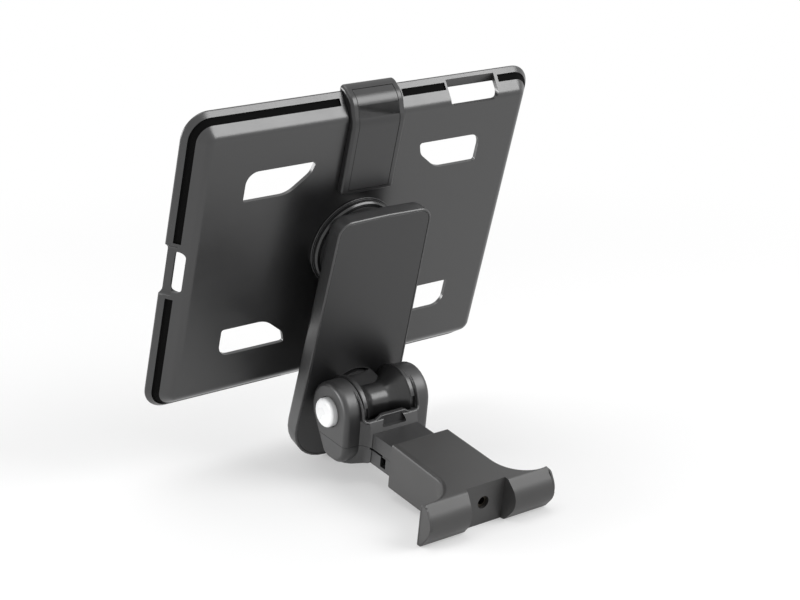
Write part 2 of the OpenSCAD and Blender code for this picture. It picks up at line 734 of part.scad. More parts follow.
module knuckle_screws() {
    z1 = arm_z1 - arm_cover_t - 0.4;
    color(steel) in_tray_frame() translate([0, swing_y, z1 - 4]) for (a = [45:90:315])
        rotate([0, 0, a]) translate([15.2, 0, 0]) screw(2.5, 1.95, 1.22, 7, 1.1);
}

module hinge_bush() {
    half = spool_w / 2;
    color(steel) in_tray_frame() translate([0, axis_y, axis_z]) difference() {
        x_cylinder(-half, half, axle_r + 2);
        x_cylinder(-half - 1, half + 1, axle_r + run);
    }
}

// Side view of an ear in [y, z], drawn in by e: a round top with a straight front edge
function ear_side(e) = let(r = ear_r - e, z = -yoke_deep + e, a = 213.6) rounded(concat(
    [for (i = [0:20]) let(b = a * i / 20) [r * cos(b), r * sin(b), 0]],
    [[(r - z * sin(a)) / cos(a), z, 8 - e], [r, z, 11 - e]]));

// Both ears, with soft outer faces
module ears() {
    steps = [for (k = [0:4]) let(a = k * 22.5)
        [ear_out - ear_bend * (1 - sin(a)), ear_soft * (1 - cos(a))]];
    for (m = [0, 1]) mirror([m, 0, 0]) loft(concat(
        [[for (p = ear_side(0)) [ear_in, p[0], p[1]]]],
        [for (k = steps) [for (p = ear_side(k[1])) [k[0], p[0], p[1]]]]));
}

// Floor under the spool, rear wall and the webs that run from the ears to the neck
module yoke_middle() {
    wall_y = fork_r + 5.6;
    web_x = ear_out - ear_bend - 0.2;
    half = neck_w / 2 + 0.15;
    side = 2 * web_x + 2;
    intersection() {
        translate([0, 0, -yoke_deep - 1]) linear_extrude(yoke_deep + 5) polygon(rounded([
            [-web_x, -14, 0], [web_x, -14, 0], [web_x, 12, 5], [half + 1.6, 21.6, 6], [half, wall_y + 1, 0.8],
            [-half, wall_y + 1, 0.8], [-half - 1.6, 21.6, 6], [-web_x, 12, 5]]));
        rotate([90, 0, 90]) translate([0, 0, -side / 2]) linear_extrude(side) polygon(rounded([
            [-4, -yoke_deep + 0.3, 9], [16, -yoke_deep + 0.3, 9], [wall_y, neck_low - 0.4, 3],
            [wall_y + 0.3, neck_top - 0.7, 0.6], [fork_r + 2.5, -0.2, 1.4], [-11, -0.2, 0], [-11, -14, 3]]));
    }
    rotate([90, 0, 0]) translate([0, 0, -fork_r - 2.1]) linear_extrude(4) polygon(rounded([
        [-12.6, -4, 0], [12.6, -4, 0], [12.6, -0.1, 1], [8.4, 2.5, 1.6], [-8.4, 2.5, 1.6], [-12.6, -0.1, 1]]));
}

// The shallow panel let into the rear wall below its raised middle
module wall_panel() {
    rotate([90, 0, 0]) translate([0, 0, -fork_r - 9]) linear_extrude(7.5) polygon(rounded([
        [-9.6, neck_top + 2, 1], [9.6, neck_top + 2, 1], [7, 0.9, 1.4], [-7, 0.9, 1.4]]));
}

module neck() {
    translate([-neck_w / 2, fork_r, neck_low]) cube([neck_w, neck_end - fork_r, neck_h]);
}

neck_bosses = [for (sx = [-1, 1]) each [[sx * 9.5, 36], [sx * 9.5, 62]]];
ear_bosses = [for (sx = [-1, 1]) [sx * 25.6, 3]];

module yoke_body() {
    difference() {
        union() {
            ears();
            yoke_middle();
            neck();
        }
        x_cylinder(-ear_in, ear_in, fork_r);
        wall_panel();
        difference() {
            translate([-neck_w / 2 + neck_wall, 30, neck_low + neck_wall])
                cube([neck_w - 2 * neck_wall, neck_end, neck_h - 2 * neck_wall]);
            for (p = neck_bosses) translate([p[0], p[1], neck_low]) cylinder(neck_h, 3.6, 3.6);
        }
        for (sx = [-1, 1]) translate([sx * neck_w / 2, 0, 0]) {
            translate([0, 31, part_z - 0.2]) cube([6, 12, 1.4], center = true);
            translate([0, 38, part_z - 4.2]) cube([6, 5, 6.8], center = true);
        }
        for (p = concat(neck_bosses, ear_bosses)) translate([p[0], p[1], neck_low - 6]) {
            cylinder(11, 1.5, 1.5);
            cylinder(20, 1.25, 1.25);
        }
    }
    stop_lugs();
}

// Stops in the fork that the spool's cut-back rims run against
module stop_lugs() {
    half = spool_w / 2;
    for (m = [0, 1]) mirror([m, 0, 0]) {
        ring_sector(half - 2.8, ear_in + 2, rim_cut_r + 0.4, fork_r + 1, stop_top - stop_size, stop_top);
    }
}

module yoke_upper() {
    color(black) in_bracket_frame() difference() {
        yoke_body();
        translate([-60, -60, -100]) cube([120, 240, 100 + part_z + seam / 2]);
        x_cylinder(-ear_out, ear_out, axle_r + eps);
        x_cylinder(ear_in - 1, ear_in + washer_deep, axle_r + 4.8);
        x_cylinder(-ear_in - washer_deep, -ear_in + 1, axle_r + 4.8);
        x_cylinder(pocket_x, ear_out + 1, button_r + 0.5);
        x_cylinder(-ear_out - 1, -pocket_x, button_r + 0.5);
    }
}

module yoke_lower() {
    color(black) in_bracket_frame() difference() {
        yoke_body();
        translate([-60, -60, part_z - seam / 2]) cube([120, 240, 100]);
        for (p = concat(neck_bosses, ear_bosses)) translate([p[0], p[1], -yoke_deep - 1])
            cylinder(neck_low + yoke_deep + 3.8, 2.9, 2.9);
    }
}

module yoke_screws() {
    color(steel) in_bracket_frame() for (p = concat([for (q = neck_bosses) if (q[1] < 50) q], ear_bosses))
        translate([p[0], p[1], neck_low + 1]) screw(2.6, 1.8, 1.22, 12.6, 1.2);
}

module bracket_screws() {
    color(steel) in_bracket_frame() for (p = neck_bosses) if (p[1] > 50)
        translate([p[0], p[1], block_low + 1.2]) screw(2.9, 2, 1.22, 17.2, 1.3);
}

module hinge_pin() {
    color(steel) in_bracket_frame() difference() {
        x_cylinder(-pocket_x, pocket_x, axle_r);
        x_cylinder(stem_x - button_travel - 2, pocket_x + 1, 2.55);
    }
}

module pin_cap() {
    color(black) in_bracket_frame() difference() {
        x_cylinder(-ear_out - 0.6, -pocket_x, button_r + 0.45);
        x_cylinder(-ear_out - 1, -ear_out + 0.4, button_r - 2);
    }
}

module friction_washers() {
    color(steel) in_bracket_frame() for (m = [0, 1]) mirror([m, 0, 0]) difference() {
        x_cylinder(spool_w / 2 + 0.15, ear_in + washer_deep, axle_r + 4.6);
        x_cylinder(0, ear_out, axle_r + run);
    }
}

module lock_button() {
    face = ear_out + button_out;
    back = pocket_x + button_travel + 1.5;
    color(silver) in_bracket_frame() rotate([0, 90, 0]) rotate_extrude() polygon(rounded([
        [0, stem_x, 0], [2.5, stem_x, 0], [2.5, back, 0], [button_r, back, 0.4], [button_r, face - 0.4, 1.7],
        [button_r - 1.9, face + 0.1, 1], [0, face - 0.3, 0]]));
}

module button_spring() {
    color(steel) in_bracket_frame() translate([stem_x - button_travel - 1.9, 0, 0]) rotate([0, 90, 0])
        coil(2.05, 0.3, 1.7, 2);
}

// Right half of the bracket's plan in [x, y], drawn in by e
function saddle_arc(e) = let(r = saddle_r + e, s = wing_w / 2 - e,
        c = [saddle_x, face_y + 0.5 - saddle_r], a1 = 90 - asin((s - saddle_x) / r))
    [for (i = [0:14]) let(a = 180 + (a1 - 180) * i / 14) c + r * [cos(a), sin(a)]];
function bracket_side(e) = concat(
    [[block_w / 2 - e, block_y0 + e]],
    saddle_arc(e),
    [[wing_w / 2 - e, nose_y + 4]]);
function bracket_plan(e) = let(side = bracket_side(e)) concat(
    side,
    [for (i = [len(side) - 1:-1:0]) [-side[i][0], side[i][1]]]);

// The top falls a little towards the headrest
top_fall = 0.033;
function top_z(y) = block_top - top_fall * (y - block_y0);

module bracket_blank() {
    soft = 2.6;
    soft_low = 2;
    n = len(bracket_plan(0));
    intersection() {
        loft(concat(
            [for (k = [3:-1:0]) [for (p = bracket_plan(soft_low * (1 - cos(k * 30))))
                [p[0], p[1], block_low + soft_low * (1 - sin(k * 30))]]],
            [for (k = [0:3]) [for (p = bracket_plan(soft * (1 - cos(k * 30))))
                [p[0], p[1], top_z(p[1]) - soft * (1 - sin(k * 30))]]]),
            cap = [for (i = [0:n / 2 - 2]) [i, i + 1, n - 2 - i, n - 1 - i]]);
        rotate([90, 0, 90]) translate([0, 0, -wing_w]) linear_extrude(2 * wing_w) polygon(rounded([
            [block_y0 - 5, block_low - 1, 0], [block_y0 - 5, block_top + 2, 0],
            [face_y + 2.4, block_top - 2.2, 3], [nose_y, hole_z, nose_r], [tip[0], tip[1], tip_r],
            [84, block_low + 0.6, 0], [70, block_low - 1, 0]], 10));
    }
}

module clamp_bracket() {
    fit = 0.2;
    cap_gap = 0.15;
    color(black) in_bracket_frame() difference() {
        bracket_blank();
        translate([0, face_y, -60]) linear_extrude(100) polygon([
            [-notch_w / 2, 0], [notch_w / 2, 0], [notch_w / 2 + 3.4, 20], [-notch_w / 2 - 3.4, 20]]);
        translate([-neck_w / 2 - fit, block_y0 - 5, neck_low - fit])
            cube([neck_w + 2 * fit, neck_end + 5.4 - block_y0, neck_h + 2 * fit]);
        translate([0, face_y + 1, hole_z]) rotate([90, 0, 0]) cylinder(16, 4.1, 4.1);
        for (p = neck_bosses) if (p[1] > 50) translate([p[0], p[1], block_low - 1]) {
            cylinder(20, 1.5, 1.5);
            cylinder(4.2, 3.2, 3.2);
        }
        for (m = [0, 1]) mirror([m, 0, 0]) translate([wing_w / 2 - cap_t, 0, 0]) rotate([90, 0, 90])
            linear_extrude(10) polygon(leaf(1.1 - cap_gap));
        for (m = [0, 1]) mirror([m, 0, 0]) translate([wing_w / 2 - 18, 0, 0]) rotate([90, 0, 90])
            linear_extrude(18 - cap_t + 0.5) polygon(rounded([
                [face_y + 2.5, block_top - 5.2, 0.6],
                [nose_y - 9, block_top - 5.4, 2],
                [nose_y - 3.2, hole_z, nose_r - 3],
                [face_y + 3.4, tip[1] + 4.6, 1]], 8));
    }
}

// End view of a wing in [y, z], drawn in by e
wing_end = [
    [face_y - 0.3, block_top - 2.4, 1.2],
    [nose_y - 8, block_top - 2.8, 4],
    [nose_y, hole_z, nose_r],
    [tip[0] + 1, tip[1] + 0.4, 3.2],
    [face_y - 0.3, tip[1] - 0.2, 1.2]];
function leaf(e) = rounded(inset(wing_end, e), 8);

module wing_caps() {
    color(charcoal) in_bracket_frame() for (m = [0, 1]) mirror([m, 0, 0])
        translate([wing_w / 2 - cap_t + eps, 0, 0]) rotate([90, 0, 90]) {
            linear_extrude(cap_t) polygon(leaf(1.1));
        }
}

module clamp_insert() {
    color(brass) in_bracket_frame() translate([0, face_y - 2, hole_z]) rotate([90, 0, 0]) difference() {
        cylinder(12, 4.08, 4.08);
        translate([0, 0, -1]) cylinder(14, insert_bore, insert_bore);
    }
}

tablet_tray();
edge_band();
clip_rail();
rail_screws();
hub_flange();
hub_screws();
swivel_washer();
swivel_screw();
clip_frame();
clip_cover();
clip_springs();
arm_shell();
arm_cover();
arm_screws();
knuckle();
knuckle_base();
knuckle_screws();
hinge_bush();
yoke_upper();
yoke_lower();
yoke_screws();
hinge_pin();
pin_cap();
friction_washers();
lock_button();
button_spring();
clamp_bracket();
wing_caps();
clamp_insert();
bracket_screws();
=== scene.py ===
"""Headrest tablet mount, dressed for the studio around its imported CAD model.

The sections follow the mount as it is put together: tray, retainer clip, swivel hub, arm,
knuckle, yoke, release button and clamp bracket, then the studio. Lengths are in metres.
"""
import json
from math import cos, pi, radians, sin

import bmesh
import bpy
import numpy as np
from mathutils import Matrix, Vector


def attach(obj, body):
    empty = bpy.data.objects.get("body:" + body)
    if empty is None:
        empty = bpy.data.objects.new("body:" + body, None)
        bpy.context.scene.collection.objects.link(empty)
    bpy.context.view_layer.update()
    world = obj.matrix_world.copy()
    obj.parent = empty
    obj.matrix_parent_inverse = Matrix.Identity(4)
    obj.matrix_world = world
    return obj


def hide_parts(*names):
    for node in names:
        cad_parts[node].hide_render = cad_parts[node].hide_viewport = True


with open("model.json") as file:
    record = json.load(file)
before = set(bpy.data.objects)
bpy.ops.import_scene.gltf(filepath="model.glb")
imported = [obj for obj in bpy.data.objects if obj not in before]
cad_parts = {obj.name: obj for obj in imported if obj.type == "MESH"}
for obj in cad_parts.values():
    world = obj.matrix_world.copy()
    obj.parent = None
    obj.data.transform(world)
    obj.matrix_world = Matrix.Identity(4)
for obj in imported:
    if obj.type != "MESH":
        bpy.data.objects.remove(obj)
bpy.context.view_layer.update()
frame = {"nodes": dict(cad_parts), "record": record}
MM = 0.001


# Tray
# A shallow injection-moulded tray in satin black ABS that grips the tablet's edge. Its
# side slants back at 45 degrees and carries a groove; the mould's sharp edges are eased.
def eased_copy(node, piece, body, finish, edge_finish, crease=32.0, ease=0.25 * MM):
    """The CAD solid's own surface as one joined skin, smooth wherever two faces meet at
    less than the crease angle, with every sharper edge rounded off by a strip of width ease,
    which takes edge_finish; where that is lighter than finish, the strip's colour is partly
    rubbed wear and partly a painted highlight along the edge."""
    mesh = frame["nodes"][node].data.copy()
    mesh.name = piece
    skin = bmesh.new()
    skin.from_mesh(mesh)
    bmesh.ops.remove_doubles(skin, verts=skin.verts, dist=0.002 * MM)
    bmesh.ops.dissolve_degenerate(skin, dist=0.001 * MM, edges=skin.edges)
    bmesh.ops.dissolve_limit(skin, angle_limit=radians(0.6), verts=skin.verts, edges=skin.edges)
    skin.to_mesh(mesh)
    skin.free()
    if "custom_normal" in mesh.attributes:
        mesh.attributes.remove(mesh.attributes["custom_normal"])
    mesh.polygons.foreach_set("use_smooth", np.ones(len(mesh.polygons), bool))
    mesh.set_sharp_from_angle(angle=radians(crease))
    mesh.materials.clear()
    mesh.materials.append(finish)
    mesh.materials.append(edge_finish)
    mesh.polygons.foreach_set("material_index", np.zeros(len(mesh.polygons), int))
    skin_object = bpy.data.objects.new(piece, mesh)
    bpy.context.scene.collection.objects.link(skin_object)
    edge = skin_object.modifiers.new("eased edges", "BEVEL")
    edge.width = ease
    edge.segments = 2
    edge.limit_method = "ANGLE"
    edge.angle_limit = radians(crease)
    edge.use_clamp_overlap = True
    edge.harden_normals = True
    edge.material = 1
    weigh = skin_object.modifiers.new("flat faces", "WEIGHTED_NORMAL")
    weigh.keep_sharp = True
    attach(skin_object, body)
    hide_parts(node)
    return skin_object


def mould_grain_group():
    """Shader group for a spark-eroded mould finish: fine grain as a height, and slow
    patches where handling has polished the surface, as a value round 0.5."""
    group = bpy.data.node_groups.new("mould grain", "ShaderNodeTree")
    for name, value in (("Grain Size mm", 0.3), ("Patch Size mm", 24.0)):
        socket = group.interface.new_socket(name, in_out="INPUT", socket_type="NodeSocketFloat")
        socket.default_value = value
    group.interface.new_socket("Height", in_out="OUTPUT", socket_type="NodeSocketFloat")
    group.interface.new_socket("Patches", in_out="OUTPUT", socket_type="NodeSocketFloat")
    nodes, links = group.nodes, group.links
    given = nodes.new("NodeGroupInput")
    result = nodes.new("NodeGroupOutput")
    place = nodes.new("ShaderNodeTexCoord")
    for size, detail, output in (("Grain Size mm", 2.0, "Height"), ("Patch Size mm", 3.0, "Patches")):
        per_metre = nodes.new("ShaderNodeMath")
        per_metre.operation = "DIVIDE"
        per_metre.inputs[0].default_value = 1000.0
        noise = nodes.new("ShaderNodeTexNoise")
        noise.inputs["Detail"].default_value = detail
        noise.inputs["Roughness"].default_value = 0.55
        links.new(given.outputs[size], per_metre.inputs[1])
        links.new(place.outputs["Object"], noise.inputs["Vector"])
        links.new(per_metre.outputs[0], noise.inputs["Scale"])
        links.new(noise.outputs["Fac"], result.inputs[output])
    return group


mould_grain = mould_grain_group()


def moulded_plastic(name, dark, light, rough, grain_mm=0.3, grain_depth=0.012, rough_spread=0.05,
                    patch_mm=24.0, ior=1.58):
    """Moulded plastic: colour runs between two near shades over the worn patches, the
    patches also shift the roughness, and the grain lifts the surface by grain_depth mm."""
    material = bpy.data.materials.new(name)
    material.use_nodes = True
    nodes, links = material.node_tree.nodes, material.node_tree.links
    shader = nodes["Principled BSDF"]
    shader.inputs["IOR"].default_value = ior
    finish = nodes.new("ShaderNodeGroup")
    finish.node_tree = mould_grain
    finish.inputs["Grain Size mm"].default_value = grain_mm
    finish.inputs["Patch Size mm"].default_value = patch_mm
    shade = nodes.new("ShaderNodeMix")
    shade.data_type = "RGBA"
    shade.inputs["A"].default_value = (*dark, 1)
    shade.inputs["B"].default_value = (*light, 1)
    gloss = nodes.new("ShaderNodeMapRange")
    gloss.inputs["From Min"].default_value = 0.3
    gloss.inputs["From Max"].default_value = 0.7
    gloss.inputs["To Min"].default_value = rough - rough_spread / 2
    gloss.inputs["To Max"].default_value = rough + rough_spread / 2
    bump = nodes.new("ShaderNodeBump")
    bump.inputs["Distance"].default_value = grain_depth * MM
    bump.inputs["Strength"].default_value = 1.0
    links.new(finish.outputs["Patches"], shade.inputs["Factor"])
    links.new(finish.outputs["Patches"], gloss.inputs["Value"])
    links.new(finish.outputs["Height"], bump.inputs["Height"])
    links.new(shade.outputs["Result"], shader.inputs["Base Color"])
    links.new(gloss.outputs["Result"], shader.inputs["Roughness"])
    links.new(bump.outputs["Normal"], shader.inputs["Normal"])
    return material


tray_plastic = moulded_plastic("satin black tray", (0.007, 0.007, 0.0075), (0.011, 0.011, 0.0115), 0.32,
                               ior=1.72)
# The edge finish is lighter and glossier than the tray: partly rubbed wear, partly a painted highlight
# along every eased edge.
worn_edge_and_highlight = moulded_plastic("worn black edge with painted highlight", (0.016, 0.016, 0.017), (0.040, 0.040, 0.041), 0.24,
                              grain_mm=0.6, rough_spread=0.16, patch_mm=6.0)
eased_copy("tablet_tray", "tray", "case", tray_plastic, worn_edge_and_highlight, ease=0.5 * MM)

# Edge band
# A near-black strip lies low in the tray's groove in five stretches. Its almost black,
# barely reflecting finish is painted shade for the deep groove, so the groove reads as a dark line.
groove_shade_band = moulded_plastic("painted groove shade band", (0.002, 0.002, 0.002), (0.004, 0.004, 0.004), 0.92,
                            grain_mm=0.5, grain_depth=0.05)
groove_shade_band.node_tree.nodes["Principled BSDF"].inputs["Specular IOR Level"].default_value = 0.06
eased_copy("edge_band", "edge_strip", "case", groove_shade_band, groove_shade_band, ease=0.12 * MM)


# Rail, hub screws and other steel
# Plated steel screws, washers and springs hold the mount together. Most of them are out
# of sight once it is closed. They keep their CAD solids and take a turned finish.
def plated_steel(name, colour, rough):
    """Plated steel: fine rings from turning, drawn as noise squeezed along one axis,
    shift the roughness round its mean."""
    material = bpy.data.materials.new(name)
    material.use_nodes = True
    nodes, links = material.node_tree.nodes, material.node_tree.links
    shader = nodes["Principled BSDF"]
    shader.inputs["Metallic"].default_value = 1.0
    shader.inputs["Base Color"].default_value = (*colour, 1)
    place = nodes.new("ShaderNodeTexCoord")
    squeeze = nodes.new("ShaderNodeMapping")
    squeeze.inputs["Scale"].default_value = (9000.0, 400.0, 400.0)
    rings = nodes.new("ShaderNodeTexNoise")
    rings.inputs["Scale"].default_value = 1.0
    rings.inputs["Detail"].default_value = 2.0
    gloss = nodes.new("ShaderNodeMapRange")
    gloss.inputs["To Min"].default_value = rough - 0.08
    gloss.inputs["To Max"].default_value = rough + 0.08
    links.new(place.outputs["Object"], squeeze.inputs["Vector"])
    links.new(squeeze.outputs["Vector"], rings.inputs["Vector"])
    links.new(rings.outputs["Fac"], gloss.inputs["Value"])
    links.new(gloss.outputs["Result"], shader.inputs["Roughness"])
    return material


def coat(node, finish):
    """Gives a CAD node that keeps its own solid its finish."""
    slots = frame["nodes"][node].data.materials
    slots.clear()
    slots.append(finish)


screw_steel = plated_steel("black plated steel", (0.16, 0.16, 0.17), 0.32)
for node in ("rail_screws", "hub_screws", "swivel_washer", "swivel_screw", "clip_springs", "arm_screws",
             "knuckle_base", "knuckle_screws", "hinge_bush", "yoke_screws", "hinge_pin",
             "friction_washers", "button_spring", "bracket_screws"):
    coat(node, screw_steel)
coat("clip_rail", tray_plastic)

# Retainer clip
# The clip wraps over the tray's top edge and slides on a rail to let the tablet in. Its
# frame has soft round edges, and a flat cover is let into its back.
clip_plastic = moulded_plastic("satin black clip", (0.010, 0.010, 0.0105), (0.016, 0.016, 0.0165), 0.30)
eased_copy("clip_frame", "clip_body", "clip", clip_plastic, worn_edge_and_highlight, crease=40, ease=0.12 * MM)
eased_copy("clip_cover", "clip_plate", "clip", clip_plastic, clip_plastic, crease=40)

# Swivel hub
# A round foot screwed to the tray carries the arm. It is turned in one setting, with a
# polished chamfer round its rim whose lighter edge finish is partly wear and partly a painted
# highlight.
hub_plastic = moulded_plastic("polished black hub", (0.008, 0.008, 0.0085), (0.012, 0.012, 0.0125),
                              0.20, grain_depth=0.004)
eased_copy("hub_flange", "hub_foot", "case", hub_plastic, worn_edge_and_highlight, crease=30)

# Arm
# A deep housing and a flat cover make the arm; six screws from the front hold them. Both
# are moulded in satin black, the housing a little glossier than its cover.
arm_plastic = moulded_plastic("satin black arm", (0.011, 0.011, 0.0115), (0.018, 0.018, 0.0185), 0.40,
                              ior=1.72)
cover_plastic = moulded_plastic("fine matt cover", (0.007, 0.007, 0.0075), (0.011, 0.011, 0.0115), 0.38,
                                grain_depth=0.02)
eased_copy("arm_shell", "arm_housing", "arm", arm_plastic, worn_edge_and_highlight, crease=28, ease=0.4 * MM)
eased_copy("arm_cover", "arm_plate", "arm", cover_plastic, worn_edge_and_highlight, crease=28, ease=0.45 * MM)


def swept_surface(name, points, finish, body, round_on_itself):
    """A piece from points[i, j], the rings i of a section carried along a line: neighbouring
    rings are joined by squares. The line closes on itself, or else the first and the last
    ring are each closed by one face."""
    rows, columns = points.shape[:2]
    number = np.arange(rows * columns).reshape(rows, columns)
    onward = np.roll(number, -1, axis=0)
    corners = [number, onward, np.roll(onward, -1, axis=1), np.roll(number, -1, axis=1)]
    squares = np.stack(corners, axis=2)
    if round_on_itself:
        faces = squares.reshape(-1, 4).tolist()
    else:
        faces = squares[:-1].reshape(-1, 4).tolist() + [number[0].tolist(), number[-1].tolist()]
    mesh = bpy.data.meshes.new(name)
    mesh.from_pydata(points.reshape(-1, 3), [], faces)
    mesh.polygons.foreach_set("use_smooth", np.ones(len(mesh.polygons), bool))
    skin = bmesh.new()
    skin.from_mesh(mesh)
    bmesh.ops.recalc_face_normals(skin, faces=skin.faces)
    skin.to_mesh(mesh)
    skin.free()
    mesh.materials.append(finish)
    piece = bpy.data.objects.new(name, mesh)
    bpy.context.scene.collection.objects.link(piece)
    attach(piece, body)


def joint_named(name):
    """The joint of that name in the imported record."""
    return next(joint for joint in frame["record"]["behaviour"]["joints"] if joint["name"] == name)


swing = joint_named("arm_swing")
port_centre, rearward = np.array(swing["pos_m"]), np.array(swing["axis"])
upward = np.cross(rearward, (-1.0, 0.0, 0.0))


def port_lip(mean_radius=20.80 * MM, half_width=0.36 * MM, height=0.16 * MM):
    """The rounded lip of the port: an oval section turned round the swing axis. A point is
    centre + radius * (cos t * x + sin t * up) + lift * axis, the radius being the mean plus
    the half width times cos s, and the lift the height times sin s."""
    t = np.linspace(0, 2 * pi, 128, endpoint=False)[:, None]
    s = np.linspace(0, 2 * pi, 12, endpoint=False)[None, :]
    radius = mean_radius + half_width * np.cos(s) + 0 * t
    lift = height * np.sin(s) - 0.21 * MM + 0 * t
    return (port_centre + (radius * np.cos(t))[..., None] * np.array((1.0, 0.0, 0.0))
            + (radius * np.sin(t))[..., None] * upward + lift[..., None] * rearward)


# The nearly flush lip shows mainly through its lighter edge finish: a painted highlight ring round the
# port, partly rubbed wear.
swept_surface("port_lip", port_lip(), worn_edge_and_highlight, "arm", round_on_itself=True)

# Knuckle
# A waisted spool on a round foot turns in the arm's port and tilts in the yoke. It is
# moulded in glass-filled black nylon round a steel sleeve, and has a fine matt grain.
nylon = moulded_plastic("black nylon", (0.012, 0.012, 0.0125), (0.020, 0.020, 0.0205), 0.30,
                        grain_depth=0.010)
eased_copy("knuckle", "spool", "knuckle", nylon, worn_edge_and_highlight, crease=30, ease=0.3 * MM)

# Yoke
# The fork has two round ears and a hollow neck. Its halves meet at a level seam and are
# screwed together from below; a blind cap closes the far ear.
yoke_plastic = moulded_plastic("satin black yoke", (0.013, 0.013, 0.0135), (0.021, 0.021, 0.0215), 0.42,
                               ior=1.68)
yoke_top = eased_copy("yoke_upper", "yoke_top", "bracket", yoke_plastic, worn_edge_and_highlight, crease=30,
                      ease=0.4 * MM)
tilt_axis = np.array(joint_named("tilt")["pos_m"])
bracket_slope = radians(7.6045)
along_neck = np.array((0.0, cos(bracket_slope), -sin(bracket_slope)))
above_neck = np.array((0.0, sin(bracket_slope), cos(bracket_slope)))


def flush_stops(mesh):
    """Draws the outer ends of the two stops into the web beside them: a point 20.7 to 21.8 mm
    from the tilt axis, 20 to 22.1 mm out and 1 to 11 degrees under the level of the axis moves
    2.8 mm along the neck, towards the axis."""
    place = np.empty(len(mesh.vertices) * 3)
    mesh.vertices.foreach_get("co", place)
    place = place.reshape(-1, 3)
    out = np.abs(place[:, 0])
    back = (place - tilt_axis) @ along_neck
    up = (place - tilt_axis) @ above_neck
    far = np.hypot(back, up)
    angle = np.degrees(np.arctan2(up, back))
    proud = (out > 20 * MM) & (out < 22.1 * MM) & (far > 20.7 * MM) & (far < 21.8 * MM)
    proud &= (angle > -11) & (angle < -1)
    place[proud] -= 2.8 * MM * along_neck
    mesh.vertices.foreach_set("co", place.ravel())
    mesh.update()


flush_stops(yoke_top.data)


def wall_rim(half_width=1.3 * MM, half_height=1.0 * MM):
    """The rounded rim on the fork's rear wall, which runs over the raised middle and up the
    inner edge of each ear: an oval section carried along a smooth path. The line of corners
    in (across, along, above) is rounded by a sliding average, and a point is path + half
    width * sin s * along + half height * cos s * side, shrinking towards the two ends."""
    turn = np.radians(np.linspace(62, 2, 9))
    sunk = np.linspace(19.7, 20.35, 9)
    ear = np.stack([np.linspace(21.5, 21.1, 9), sunk * np.cos(turn), sunk * np.sin(turn)], axis=1)
    wall = np.array([(19.9, 21.7, -0.95), (16.8, 22.0, -1.15), (12.9, 21.9, -1.05), (8.7, 21.7, 1.55)])
    half = np.concatenate([ear, wall])
    corner = np.concatenate([half, half[::-1] * (-1, 1, 1)]) * MM
    run = np.append(0, np.cumsum(np.linalg.norm(np.diff(corner, axis=0), axis=1)))
    rings = 481
    even = np.linspace(0, run[-1], rings)
    line = np.stack([np.interp(even, run, column) for column in corner.T], axis=1)
    window = np.hanning(19)
    window /= window.sum()
    padded = np.pad(line, ((9, 9), (0, 0)), mode="edge")
    line = np.stack([np.convolve(column, window, mode="valid") for column in padded.T], axis=1)
    path = tilt_axis + line @ np.array([(1.0, 0.0, 0.0), along_neck, above_neck])
    ahead = np.gradient(path, axis=0)
    ahead /= np.linalg.norm(ahead, axis=1)[:, None]
    outward = line[:, 1:] @ np.array([along_neck, above_neck])
    side = np.cross(ahead, outward)
    side /= np.linalg.norm(side, axis=1)[:, None]
    deep = np.cross(side, ahead)
    to_end = np.minimum(np.arange(rings), np.arange(rings)[::-1])
    shrink = np.clip(to_end / 120, 0.02, 1)[:, None, None] ** 0.6
    s = np.linspace(0, 2 * pi, 20, endpoint=False)[None, :, None]
    section = half_width * np.sin(s) * deep[:, None] + half_height * np.cos(s) * side[:, None]
    return path[:, None] + shrink * section


swept_surface("fork_wall_rim", wall_rim(), yoke_plastic, "bracket",
              round_on_itself=False)
eased_copy("yoke_lower", "yoke_base", "bracket", yoke_plastic, yoke_plastic, crease=30, ease=0.2 * MM)
eased_copy("pin_cap", "blind_cap", "bracket", yoke_plastic, worn_edge_and_highlight, crease=30)

# Release button
# A silver button in the near ear frees the tilt. It is moulded in silver plastic with a
# fine satin spray, and its face is slightly dished.
button_silver = moulded_plastic("satin silver", (0.76, 0.765, 0.77), (0.84, 0.845, 0.85), 0.28,
                                grain_mm=0.2, grain_depth=0.006)
eased_copy("lock_button", "button", "button", button_silver, button_silver, crease=35, ease=0.1 * MM)

# Clamp bracket
# A hollow block on the neck spreads into two wings with saddles for the headrest's posts.
# The leaf-shaped ends are plugs, and a brass insert takes the clamp's screw; its near-black
# colour is painted shade for the dark screw hole.
bracket_plastic = moulded_plastic("grained black bracket", (0.020, 0.0195, 0.0195),
                                  (0.031, 0.0305, 0.030), 0.46, grain_mm=0.45, grain_depth=0.03)
# The bracket's edge finish is lighter than its faces: partly rubbed wear, partly a painted highlight
# along the eased edges.
worn_bracket_edge_and_highlight = moulded_plastic("worn bracket edge with painted highlight", (0.034, 0.033, 0.032), (0.060, 0.059, 0.058),
                                 0.36, grain_mm=0.6, rough_spread=0.16, patch_mm=6.0)
eased_copy("clamp_bracket", "clamp_block", "bracket", bracket_plastic, worn_bracket_edge_and_highlight, crease=30,
           ease=0.4 * MM)
eased_copy("wing_caps", "wing_plugs", "bracket", bracket_plastic, bracket_plastic, crease=30,
           ease=0.5 * MM)
# The insert's near-black colour is painted shade for the dark screw hole.
shaded_brass_insert = plated_steel("brass insert with painted shade", (0.055, 0.048, 0.040), 0.45)
coat("clamp_insert", shaded_brass_insert)

# Studio
# A white table in an even white room, lit by three soft boxes: one beside the camera, one
# overhead and one low on the left. The camera stands where the photographer's did.
reach = 6.0
floor_mesh = bpy.data.meshes.new("table_top")
floor_mesh.from_pydata([(-reach, -reach, 0), (reach, -reach, 0), (reach, reach, 0), (-reach, reach, 0)],
                       [], [(0, 1, 2, 3)])
floor = bpy.data.objects.new("table_top", floor_mesh)
floor.location.z = -0.0002
bpy.context.scene.collection.objects.link(floor)


